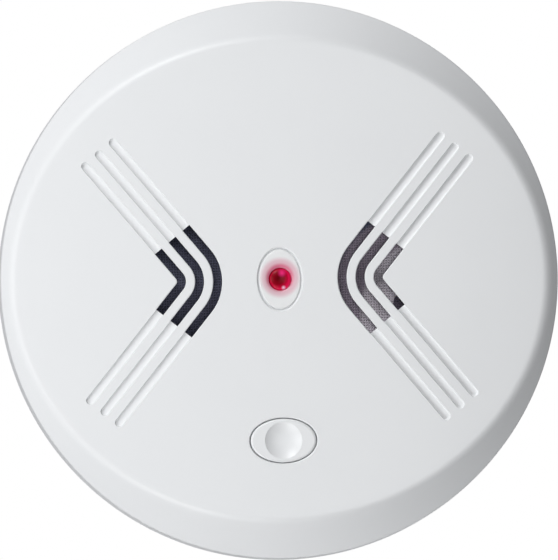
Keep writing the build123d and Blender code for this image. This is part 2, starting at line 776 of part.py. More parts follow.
with BuildPart() as ceramic_disc:
    with BuildSketch(Plane.XY.offset(disc_bottom)):
        with Locations((sounder_x, sounder_y)):
            Circle(ceramic_radius)
    extrude(amount=-ceramic_thickness)
keep(ceramic_disc, "ceramic_disc")

with BuildPart() as sounder_contacts:
    for index, (x, y) in enumerate(sounder_contact_points):
        under = disc_bottom if hypot(x, y) > ceramic_radius else disc_bottom - ceramic_thickness
        with BuildSketch(Plane.XY.offset(board_top)):
            with Locations((sounder_x + x, sounder_y + y)):
                Circle(contact_radius)
        extrude(amount=under - board_top)
keep(sounder_contacts, "sounder_contacts")

with BuildPart() as sounder_cap:
    with BuildSketch(Plane.XY.offset(sounder_split)):
        with Locations((sounder_x, sounder_y)):
            Circle(sounder_radius)
    extrude(amount=sounder_top - sounder_split)
    chamfer(sounder_cap.edges().group_by(Axis.Z)[-1], cap_chamfer)
    with BuildSketch(Plane.XY.offset(sounder_split)):
        with Locations((sounder_x, sounder_y)):
            Circle(disc_radius - disc_ledge)
    extrude(amount=sounder_top - sounder_wall - sounder_split, mode=Mode.SUBTRACT)
    with BuildSketch(Plane.XY.offset(sounder_split)):
        with Locations((sounder_x, sounder_y)):
            Circle(disc_radius + seat_clearance / 2)
    extrude(amount=disc_cover_recess + seat_clearance / 2, mode=Mode.SUBTRACT)
    with BuildSketch(Plane.XY.offset(sounder_split)):
        with Locations((sounder_x, sounder_y)):
            Circle(sound_hole_radius)
    extrude(amount=case_height, mode=Mode.SUBTRACT)
keep(sounder_cap, "sounder_cap")

# ---- battery --------------------------------------------------------------------------------------
with BuildPart() as battery:
    with BuildSketch(Plane.YZ.offset(battery_left)):
        with Locations((battery_y, terminal_z)):
            RectangleRounded(battery_width, battery_depth, battery_edge_round)
    extrude(amount=battery_length)
keep(battery, "battery")

with BuildPart() as battery_terminals:
    for y, radius in zip(terminal_points, terminal_radii):
        with BuildSketch(Plane.YZ.offset(battery_right)):
            with Locations((y, terminal_z)):
                Circle(radius)
        extrude(amount=terminal_height)
        fillet(battery_terminals.edges().group_by(Axis.X)[-1], 0.5)
keep(battery_terminals, "battery_terminals")

with BuildPart() as battery_contacts:
    for y in terminal_points:
        with BuildSketch(Plane.XZ.offset(-y - contact_width / 2)):
            with BuildLine():
                Polyline(
                    (contact_riser_x, floor_top),
                    (contact_tail_x + contact_thickness, floor_top),
                    (contact_tail_x + contact_thickness, contact_tail_top),
                    (contact_tail_x, contact_tail_top),
                    (contact_tail_x, floor_top + contact_thickness),
                    (contact_riser_x + contact_thickness, floor_top + contact_thickness),
                    (contact_riser_x + contact_thickness, contact_top),
                    (contact_face_x, contact_top),
                    (contact_face_x, contact_low),
                    (contact_face_x + contact_thickness, contact_low),
                    (contact_face_x + contact_thickness, contact_top - contact_thickness),
                    (contact_riser_x, contact_top - contact_thickness),
                    close=True,
                )
            make_face()
        extrude(amount=contact_width)
keep(battery_contacts, "battery_contacts")

# Each lead runs from a contact's tail to its pad on the board.
lead_z = board_top + lead_rise
lead_start_x = contact_tail_x + contact_thickness + lead_start_gap
for label, y, pad in zip(("black_lead", "red_lead"), terminal_points, lead_pads):
    route = [(lead_start_x, y, lead_z), (pad[0], y, lead_z)]
    if abs(pad[1] - y) > lead_bend:
        route.append((pad[0], pad[1], lead_z))
    route.append((*pad, board_top))
    bends = [lead_bend] * (len(route) - 2)
    with BuildPart() as lead:
        with BuildLine():
            path = FilletPolyline(*route, radius=bends)
        with BuildSketch(Plane.YZ.offset(lead_start_x)):
            with Locations((y, lead_z)):
                Circle(lead_radius)
        sweep()
    keep(lead, label)

# ---- components on the board ------------------------------------------------------------------------
with BuildPart() as main_chip:
    with BuildSketch(Plane.XY.offset(board_top + chip_standoff)):
        with Locations(chip_place):
            Rectangle(chip_length, chip_width)
    extrude(amount=chip_thickness)
    chamfer(main_chip.edges().group_by(Axis.Z)[-1], 0.3)
    with BuildSketch(Plane.XY.offset(board_top + chip_standoff + chip_thickness)):
        with Locations((chip_place[0] - chip_length / 2, chip_place[1])):
            Circle(chip_notch_radius)
    extrude(amount=-1, mode=Mode.SUBTRACT)
keep(main_chip, "main_chip")

# Each pin leaves the side of the chip half way up, and turns down to the board.
pin_height = board_top + chip_standoff + chip_thickness / 2
with BuildPart() as chip_pins:
    for side in (-1, 1):
        with BuildSketch(Plane.XY.offset(pin_height)):
            with Locations((chip_place[0], chip_place[1] + side * (chip_width + pin_reach) / 2)):
                with GridLocations(pin_pitch, 0, pins_per_side, 1):
                    Rectangle(pin_width, pin_reach)
        extrude(amount=pin_thickness)
        with BuildSketch(Plane.XY.offset(board_top)):
            pin_y = chip_place[1] + side * (chip_width / 2 + pin_reach - pin_thickness / 2)
            with Locations((chip_place[0], pin_y)):
                with GridLocations(pin_pitch, 0, pins_per_side, 1):
                    Rectangle(pin_width, pin_thickness)
        extrude(amount=pin_height - board_top)
keep(chip_pins, "chip_pins")

with BuildPart() as electrolytic_capacitors:
    with BuildSketch(Plane.XY.offset(board_top)):
        with Locations(*can_places):
            Circle(can_radius)
    extrude(amount=can_height)
    fillet(electrolytic_capacitors.edges().group_by(Axis.Z)[-1], 0.6)
keep(electrolytic_capacitors, "electrolytic_capacitors")

with BuildPart() as ceramic_capacitors:
    for x, y in lens_places:
        with BuildSketch(Plane.XZ.offset(-y - lens_thickness / 2)):
            with Locations((x, board_top + lens_radius + lens_standoff)):
                Circle(lens_radius)
        extrude(amount=lens_thickness)
    fillet(ceramic_capacitors.edges().filter_by(GeomType.CIRCLE), lens_thickness / 2.5)
    with BuildSketch(Plane.XY.offset(board_top)):
        with Locations(*lens_places):
            with GridLocations(lead_pitch, 0, 2, 1):
                Circle(wire_radius)
    extrude(amount=lens_standoff + lens_radius)
keep(ceramic_capacitors, "ceramic_capacitors")

with BuildPart() as transistors:
    for x, y in transistor_places:
        with BuildSketch(Plane.XY.offset(board_top + transistor_standoff)):
            with Locations((x, y)):
                Circle(transistor_radius)
                with Locations((0, -transistor_radius)):
                    Rectangle(2 * transistor_radius, transistor_radius, mode=Mode.SUBTRACT)
        extrude(amount=transistor_height)
        with BuildSketch(Plane.XY.offset(board_top)):
            with Locations((x, y)):
                with GridLocations(1.27, 0, 3, 1):
                    Rectangle(2 * wire_radius, 2 * wire_radius)
        extrude(amount=transistor_standoff)
keep(transistors, "transistors")

with BuildPart() as resistors:
    for x, y in resistor_places:
        with BuildSketch(Plane.XZ.offset(-y - resistor_length / 2)):
            with Locations((x, board_top + resistor_radius)):
                Circle(resistor_radius)
        extrude(amount=resistor_length)
    fillet(resistors.edges().filter_by(GeomType.CIRCLE), 0.4)
keep(resistors, "resistors")

with BuildPart() as resistor_leads:
    for x, y in resistor_places:
        for side in (-1, 1):
            end = y + side * resistor_length / 2
            with BuildSketch(Plane.XZ.offset(-end)):
                with Locations((x, board_top + resistor_radius)):
                    Circle(wire_radius)
            extrude(amount=-side * resistor_wire)
            with BuildSketch(Plane.XY.offset(board_top)):
                with Locations((x, end + side * resistor_wire)):
                    Circle(wire_radius)
            extrude(amount=resistor_radius)
keep(resistor_leads, "resistor_leads")

with BuildPart() as coil_core:
    with BuildSketch(Plane.XY.offset(board_top)):
        with Locations(coil_place):
            Circle(coil_flange_radius)
    extrude(amount=coil_flange)
    with BuildSketch(Plane.XY.offset(board_top + coil_height - coil_flange)):
        with Locations(coil_place):
            Circle(coil_flange_radius)
    extrude(amount=coil_flange)
    with BuildSketch(Plane.XY.offset(board_top)):
        with Locations(coil_place):
            Circle(coil_core_radius)
    extrude(amount=coil_height)
keep(coil_core, "coil_core")

with BuildPart() as coil_winding:
    with BuildSketch(Plane.XY.offset(board_top + coil_flange)):
        with Locations(coil_place):
            Circle(coil_winding_radius)
            Circle(coil_core_radius, mode=Mode.SUBTRACT)
    extrude(amount=coil_height - 2 * coil_flange)
keep(coil_winding, "coil_winding")
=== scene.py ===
from math import atan2, cos, hypot, pi, radians, sin, sqrt, tan

import bmesh
import bpy
from mathutils import Matrix, Vector


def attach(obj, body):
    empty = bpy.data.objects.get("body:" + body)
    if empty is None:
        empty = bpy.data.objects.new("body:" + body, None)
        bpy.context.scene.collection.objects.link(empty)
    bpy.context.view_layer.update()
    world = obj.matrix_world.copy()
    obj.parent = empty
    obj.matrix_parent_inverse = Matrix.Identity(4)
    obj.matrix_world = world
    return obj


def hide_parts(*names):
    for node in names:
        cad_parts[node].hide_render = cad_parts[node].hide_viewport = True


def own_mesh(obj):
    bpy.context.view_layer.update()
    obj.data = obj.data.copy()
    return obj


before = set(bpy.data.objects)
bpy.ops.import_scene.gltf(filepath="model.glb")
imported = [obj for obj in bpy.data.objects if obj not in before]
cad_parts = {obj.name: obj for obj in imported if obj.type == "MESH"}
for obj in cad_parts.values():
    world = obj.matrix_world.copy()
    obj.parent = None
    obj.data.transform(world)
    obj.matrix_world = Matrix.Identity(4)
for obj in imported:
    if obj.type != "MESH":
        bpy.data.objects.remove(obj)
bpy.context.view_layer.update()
mm = 0.001  # every size in the dictionaries is in millimetres
weld = 0.0005  # points nearer than this are one

case = dict(
    radius=60.0, height=40.0, crownRadius=290.0, bevelWidth=8.04, wall=2.0,
    splitHeight=11.0, rimRound=0.8, skirtRound=0.3, edgeBlend=0.85,
    segments=216, edgeRing=0.4, faceRing=3.0, edgeZone=49.0, centreHole=0.6, rimMargin=0.3,
)


def crownHeight(x, drop=0.0):
    reach = case["crownRadius"] - drop
    return case["height"] - case["crownRadius"] + sqrt(reach * reach - x * x)


# making pieces

def addPiece(name, bm, material, body="detector", sharp=35, stands=()):
    bmesh.ops.scale(bm, vec=(mm, mm, mm), verts=bm.verts)
    mesh = bpy.data.meshes.new(name)
    bm.to_mesh(mesh)
    bm.free()
    piece = bpy.data.objects.new(name, mesh)
    bpy.context.scene.collection.objects.link(piece)
    if material:
        mesh.materials.append(material)
    softEdges(piece, sharp)
    if body:
        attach(piece, body)
    if stands:
        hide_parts(*stands)
    return piece


def softEdges(piece, sharp):
    piece.data.shade_smooth()
    piece.data.set_sharp_from_angle(angle=radians(sharp))


def applyStack(piece):
    graph = bpy.context.evaluated_depsgraph_get()
    graph.update()
    mesh = bpy.data.meshes.new_from_object(piece.evaluated_get(graph))
    piece.modifiers.clear()
    old = piece.data
    piece.data = mesh
    mesh.name = piece.name
    bpy.data.meshes.remove(old)


def cutAway(piece, cutter):
    step = piece.modifiers.new("cut", "BOOLEAN")
    step.object = cutter
    step.solver = "EXACT"
    step.operation = "DIFFERENCE"
    applyStack(piece)
    mesh = cutter.data
    bpy.data.objects.remove(cutter)
    bpy.data.meshes.remove(mesh)


def evenShade(piece):
    step = piece.modifiers.new("shade", "WEIGHTED_NORMAL")
    step.keep_sharp = True
    step.weight = 80
    applyStack(piece)


def closeUp(bm, fill=True):
    bmesh.ops.remove_doubles(bm, verts=bm.verts, dist=weld)
    if fill:
        openEdges = [e for e in bm.edges if e.is_boundary]
        bmesh.ops.holes_fill(bm, edges=openEdges, sides=0)
    bmesh.ops.recalc_face_normals(bm, faces=bm.faces)


def addPath(bm, points, loop=False):
    verts = [bm.verts.new(p) for p in points]
    ends = verts[1:] + (verts[:1] if loop else [])
    return verts + [bm.edges.new(pair) for pair in zip(verts, ends)]


def turnProfile(bm, points, segments):
    geom = addPath(bm, [(r, 0, z) for r, z in points])
    bmesh.ops.spin(bm, geom=geom, cent=(0, 0, 0), axis=(0, 0, 1), dvec=(0, 0, 0),
                   angle=2 * pi, steps=segments, use_merge=True, use_duplicate=False)


def arcPoints(centreR, centreZ, radius, start, end, steps):
    for step in range(steps + 1):
        angle = radians(start + (end - start) * step / steps)
        yield (centreR + radius * cos(angle), centreZ + radius * sin(angle))


def ovalise(bm, halfX, halfY, inner=0.0):
    # a turned shape of radius halfX becomes an oval; inside the radius inner it stays round
    for v in bm.verts:
        reach = hypot(v.co.x, v.co.y)
        if reach <= inner or reach == 0:
            continue
        turn = atan2(v.co.y, v.co.x)
        lead = Vector((halfY * cos(turn), halfX * sin(turn))).normalized()
        x = halfX * cos(turn) + (reach - halfX) * lead.x
        y = halfY * sin(turn) + (reach - halfX) * lead.y
        share = min((reach - inner) / (halfX - inner), 1.0)
        share = share * share * (3 - 2 * share)
        v.co.x += (x - v.co.x) * share
        v.co.y += (y - v.co.y) * share


def shift(bm, x=0.0, y=0.0, z=0.0):
    bmesh.ops.translate(bm, vec=(x, y, z), verts=bm.verts)


def addTo(bm, part):
    mesh = bpy.data.meshes.new("part")
    part.to_mesh(mesh)
    part.free()
    bm.from_mesh(mesh)
    bpy.data.meshes.remove(mesh)


# shared shading

def makeGroup(name, inputs, outputs):
    group = bpy.data.node_groups.new(name, "ShaderNodeTree")
    for label, kind, value in inputs:
        socket = group.interface.new_socket(name=label, in_out="INPUT", socket_type=kind)
        socket.default_value = value
    for label, kind in outputs:
        group.interface.new_socket(name=label, in_out="OUTPUT", socket_type=kind)
    return group, group.nodes.new("NodeGroupInput"), group.nodes.new("NodeGroupOutput")


colourSocket, valueSocket = "NodeSocketColor", "NodeSocketFloat"


def addNode(tree, kind, **settings):
    node = tree.nodes.new(kind)
    for key, value in settings.items():
        setattr(node, key, value)
    return node


def addNoise(tree, vector, scale, detail=3.0, rough=0.5):
    noise = addNode(tree, "ShaderNodeTexNoise")
    noise.inputs["Scale"].default_value = scale
    noise.inputs["Detail"].default_value = detail
    noise.inputs["Roughness"].default_value = rough
    tree.links.new(vector, noise.inputs["Vector"])
    return noise


def addMath(tree, operation, a, b=None, clamp=False):
    node = addNode(tree, "ShaderNodeMath", operation=operation, use_clamp=clamp)
    for socket, value in zip(node.inputs, (a, b)):
        if value is None:
            continue
        if isinstance(value, (int, float)):
            socket.default_value = value
        else:
            tree.links.new(value, socket)
    return node.outputs[0]


def addMix(tree, factor, a, b, blend="MIX"):
    node = addNode(tree, "ShaderNodeMix", data_type="RGBA", blend_type=blend)
    for socket, value in ((node.inputs[0], factor), (node.inputs[6], a), (node.inputs[7], b)):
        if isinstance(value, (int, float)):
            socket.default_value = value
        elif isinstance(value, tuple):
            socket.default_value = (*value, 1.0)
        else:
            tree.links.new(value, socket)
    return node.outputs[2]


def mouldedGrain():
    group, given, out = makeGroup(
        "mouldedGrain",
        [("Color", colourSocket, (0.8, 0.8, 0.8, 1)), ("Shade", colourSocket, (0.7, 0.7, 0.7, 1)),
         ("Roughness", valueSocket, 0.45), ("Spread", valueSocket, 0.08),
         ("Grain", valueSocket, 2600.0), ("Cloud", valueSocket, 45.0)],
        [("Color", colourSocket), ("Roughness", valueSocket), ("Height", valueSocket)])
    place = addNode(group, "ShaderNodeTexCoord").outputs["Object"]
    grain = addNoise(group, place, 2600.0, 2.0, 0.6)
    group.links.new(given.outputs["Grain"], grain.inputs["Scale"])
    cloud = addNoise(group, place, 45.0, 4.0, 0.55)
    group.links.new(given.outputs["Cloud"], cloud.inputs["Scale"])
    tone = addMath(group, "MULTIPLY", cloud.outputs["Fac"], cloud.outputs["Fac"])
    group.links.new(addMix(group, tone, given.outputs["Color"], given.outputs["Shade"]), out.inputs["Color"])
    lift = addMath(group, "SUBTRACT", cloud.outputs["Fac"], 0.5)
    lift = addMath(group, "MULTIPLY", lift, given.outputs["Spread"])
    group.links.new(addMath(group, "ADD", lift, given.outputs["Roughness"], True), out.inputs["Roughness"])
    group.links.new(grain.outputs["Fac"], out.inputs["Height"])
    return group


def drawnGrain():
    group, given, out = makeGroup(
        "drawnGrain",
        [("Color", colourSocket, (0.6, 0.6, 0.6, 1)), ("Shade", colourSocket, (0.4, 0.4, 0.4, 1)),
         ("Roughness", valueSocket, 0.35), ("Spread", valueSocket, 0.2), ("Grain", valueSocket, 900.0)],
        [("Color", colourSocket), ("Roughness", valueSocket), ("Height", valueSocket)])
    place = addNode(group, "ShaderNodeTexCoord").outputs["Object"]
    stretch = addNode(group, "ShaderNodeMapping")
    stretch.inputs["Scale"].default_value = (1.0, 1.0, 0.12)
    group.links.new(place, stretch.inputs["Vector"])
    lines = addNoise(group, stretch.outputs[0], 900.0, 3.0, 0.6)
    group.links.new(given.outputs["Grain"], lines.inputs["Scale"])
    tarnish = addNoise(group, place, 220.0, 3.0, 0.6)
    tone = addMix(group, tarnish.outputs["Fac"], given.outputs["Color"], given.outputs["Shade"])
    group.links.new(tone, out.inputs["Color"])
    lift = addMath(group, "SUBTRACT", lines.outputs["Fac"], 0.5)
    lift = addMath(group, "MULTIPLY", lift, given.outputs["Spread"])
    group.links.new(addMath(group, "ADD", lift, given.outputs["Roughness"], True), out.inputs["Roughness"])
    group.links.new(lines.outputs["Fac"], out.inputs["Height"])
    return group


grainGroups = {"moulded": mouldedGrain(), "drawn": drawnGrain()}
print("stage: shared shading ready")


def finishMaterial(name, grain, colour, shade, roughness=0.45, spread=0.08, size=2600.0,
                   bump=0.05, depth=0.02, tint=None, **shader):
    material = bpy.data.materials.new(name)
    material.use_nodes = True
    tree = material.node_tree
    skin = tree.nodes["Principled BSDF"]
    group = addNode(tree, "ShaderNodeGroup", node_tree=grainGroups[grain])
    group.inputs["Color"].default_value = (*colour, 1)
    group.inputs["Shade"].default_value = (*shade, 1)
    group.inputs["Roughness"].default_value = roughness
    group.inputs["Spread"].default_value = spread
    group.inputs["Grain"].default_value = size
    result = group.outputs["Color"]
    if tint:
        result = tint(tree, result)
    tree.links.new(result, skin.inputs["Base Color"])
    tree.links.new(group.outputs["Roughness"], skin.inputs["Roughness"])
    relief = addNode(tree, "ShaderNodeBump")
    relief.inputs["Strength"].default_value = bump
    relief.inputs["Distance"].default_value = depth * mm
    tree.links.new(group.outputs["Height"], relief.inputs["Height"])
    tree.links.new(relief.outputs["Normal"], skin.inputs["Normal"])
    for label, value in shader.items():
        skin.inputs[label.replace("_", " ")].default_value = value
    return material


def radialReach(tree, x, y):
    # distance from a point on the face, in millimetres, along X and Y only
    place = addNode(tree, "ShaderNodeTexCoord").outputs["Object"]
    centre = addNode(tree, "ShaderNodeMapping")
    centre.inputs["Location"].default_value = (-x, -y, 0)
    centre.inputs["Scale"].default_value = (1 / mm, 1 / mm, 0)
    tree.links.new(place, centre.inputs["Vector"])
    size = addNode(tree, "ShaderNodeVectorMath", operation="LENGTH")
    tree.links.new(centre.outputs[0], size.inputs[0])
    return size.outputs["Value"]


def addRamp(tree, factor, stops, ease="LINEAR"):
    ramp = addNode(tree, "ShaderNodeValToRGB")
    ramp.color_ramp.interpolation = ease
    elements = ramp.color_ramp.elements
    while len(elements) < len(stops):
        elements.new(0.5)
    for element, (position, colour) in zip(elements, stops):
        element.position = position
        element.color = (*colour, 1)
    tree.links.new(factor, ramp.inputs["Fac"])
    return ramp.outputs["Color"]


# finishes

# painted light and shade: the bezel's white is tinted red round the status light, standing in for the lamp's
# light falling on it; the centre sits 0.35 mm above the lamp, which paints the upper side darker
paintedLampGlow = dict(
    x=0.0, y=0.35, reach=5.0, near=(0.68, 0.17, 0.27), middle=(0.73, 0.50, 0.56), far=(0.81, 0.82, 0.83),
)


# paints the lamp's light on the bezel: red and darker near the lamp, fading to pale grey further out
def paintedGlowTint(tree, base):
    reach = addMath(tree, "DIVIDE", radialReach(tree, paintedLampGlow["x"], paintedLampGlow["y"]), paintedLampGlow["reach"])
    tint = addRamp(tree, reach, [(0.0, paintedLampGlow["near"]), (0.5, paintedLampGlow["near"]), (0.68, paintedLampGlow["middle"]),
                                 (0.95, paintedLampGlow["far"])], "EASE")
    return addMix(tree, 1.0, base, tint, "MULTIPLY")


# what the screen shows of the sounder, in painted light and shade: x, y and radius of each round of it; inside
# the raised round is painted light where the slots let light fall on the sounder, far is painted shade outside
# the sounder, and dark is painted shadow in its port
sounderLightAndShade = dict(
    whole=(27.5, -2.5, 15.6), raised=(33.9, -8.3, 16.7), port=(26.7, -5.7, 2.4),
    far=(0.11, 0.13, 0.20), plain=(0.52, 0.46, 0.53), light=(1.0, 0.96, 0.99), dark=(0.14, 0.12, 0.16),
)


def roundOf(tree, x, y, radius):
    reach = addMath(tree, "DIVIDE", radialReach(tree, x, y), 2 * radius)
    return addRamp(tree, reach, [(0.0, (1, 1, 1)), (0.485, (1, 1, 1)), (0.515, (0, 0, 0))])


# paints light and shade on the right screen and the sounder cap: lighter inside the lit patch, darker outside
# the sounder and in its port
def sounderLightShadeTint(tree, base):
    tint = addMix(tree, roundOf(tree, *sounderLightAndShade["raised"]), sounderLightAndShade["plain"], sounderLightAndShade["light"])
    tint = addMix(tree, roundOf(tree, *sounderLightAndShade["whole"]), sounderLightAndShade["far"], tint)
    tint = addMix(tree, roundOf(tree, *sounderLightAndShade["port"]), tint, sounderLightAndShade["dark"])
    return addMix(tree, 1.0, base, tint, "MULTIPLY")


resistorBands = dict(
    centreY=-17.5, length=6.3, strength=0.9, body=(0.74, 0.60, 0.40),
    rings=((0.16, 0.27, (0.30, 0.10, 0.03)), (0.38, 0.48, (0.02, 0.02, 0.02)),
           (0.58, 0.68, (0.55, 0.05, 0.03)), (0.82, 0.92, (0.62, 0.44, 0.12))),
)
tracks = dict(turn=45, cells=210.0, halfWidth=0.07, colour=(0.07, 0.40, 0.14))
jacket = dict(bandFrom=8.5, colour=(0.56, 0.33, 0.14))


def alongAxis(tree, axis):
    place = addNode(tree, "ShaderNodeTexCoord").outputs["Object"]
    split = addNode(tree, "ShaderNodeSeparateXYZ")
    tree.links.new(place, split.inputs[0])
    return split.outputs[axis]


def bandTint(tree, base):
    # colour rings round each resistor's body
    length, body = resistorBands["length"], resistorBands["body"]
    along = addMath(tree, "MULTIPLY", alongAxis(tree, "Y"), 1 / mm)
    along = addMath(tree, "ADD", along, length / 2 - resistorBands["centreY"])
    stops = [(0.0, body)]
    for start, end, colour in resistorBands["rings"]:
        stops += [(start, colour), (end, body)]
    tint = addRamp(tree, addMath(tree, "DIVIDE", along, length), stops, "CONSTANT")
    return addMix(tree, resistorBands["strength"], base, tint)


def trackTint(tree, base):
    # copper runs under the solder mask, lighter where they lie
    place = addNode(tree, "ShaderNodeTexCoord").outputs["Object"]
    turned = addNode(tree, "ShaderNodeMapping")
    turned.inputs["Rotation"].default_value = (0, 0, radians(tracks["turn"]))
    tree.links.new(place, turned.inputs["Vector"])
    cells = addNode(tree, "ShaderNodeTexVoronoi", feature="DISTANCE_TO_EDGE", voronoi_dimensions="2D")
    cells.inputs["Scale"].default_value = tracks["cells"]
    tree.links.new(turned.outputs[0], cells.inputs["Vector"])
    runs = addMath(tree, "LESS_THAN", cells.outputs["Distance"], tracks["halfWidth"])
    return addMix(tree, runs, base, tracks["colour"])


def jacketTint(tree, base):
    # the battery's steel jacket: a coppery band at its contact end
    band = addMath(tree, "GREATER_THAN", alongAxis(tree, "X"), jacket["bandFrom"] * mm)
    return addMix(tree, band, base, jacket["colour"])


def spot(tree, x, y, radius):
    # 1 at a point on the face, fading to 0 at the radius
    reach = addMath(tree, "DIVIDE", radialReach(tree, x, y), radius)
    return addRamp(tree, reach, [(0.0, (1, 1, 1)), (1.0, (0, 0, 0))], "EASE")


# painted light and shade: the epoxy is painted dark over the die and bright towards its rim, where its side
# gathers the light, and two painted highlights lie on it, a crimson one above and a pink-white one low on the
# right
lampPaintedLight = dict(
    x=-0.45, y=0.2, reach=2.9,
    stops=((0.0, (0.12, 0.0, 0.003)), (0.42, (0.23, 0.0, 0.008)), (0.66, (0.50, 0.0, 0.03)),
           (0.84, (0.92, 0.01, 0.09)), (1.0, (1.0, 0.03, 0.16))),
    paintedHighlights=((0.45, 1.35, 1.15, (0.85, 0.03, 0.20)), (0.75, -1.85, 0.62, (1.0, 0.62, 0.85))),
)


# paints the lamp's light, shade and highlights into the epoxy's colour
def lampPaintedLightTint(tree, base):
    reach = addMath(tree, "DIVIDE", radialReach(tree, lampPaintedLight["x"], lampPaintedLight["y"]), lampPaintedLight["reach"])
    tint = addRamp(tree, reach, lampPaintedLight["stops"], "EASE")
    for x, y, radius, colour in lampPaintedLight["paintedHighlights"]:
        tint = addMix(tree, spot(tree, x, y, radius), tint, colour)
    return addMix(tree, 1.0, base, tint, "MULTIPLY")


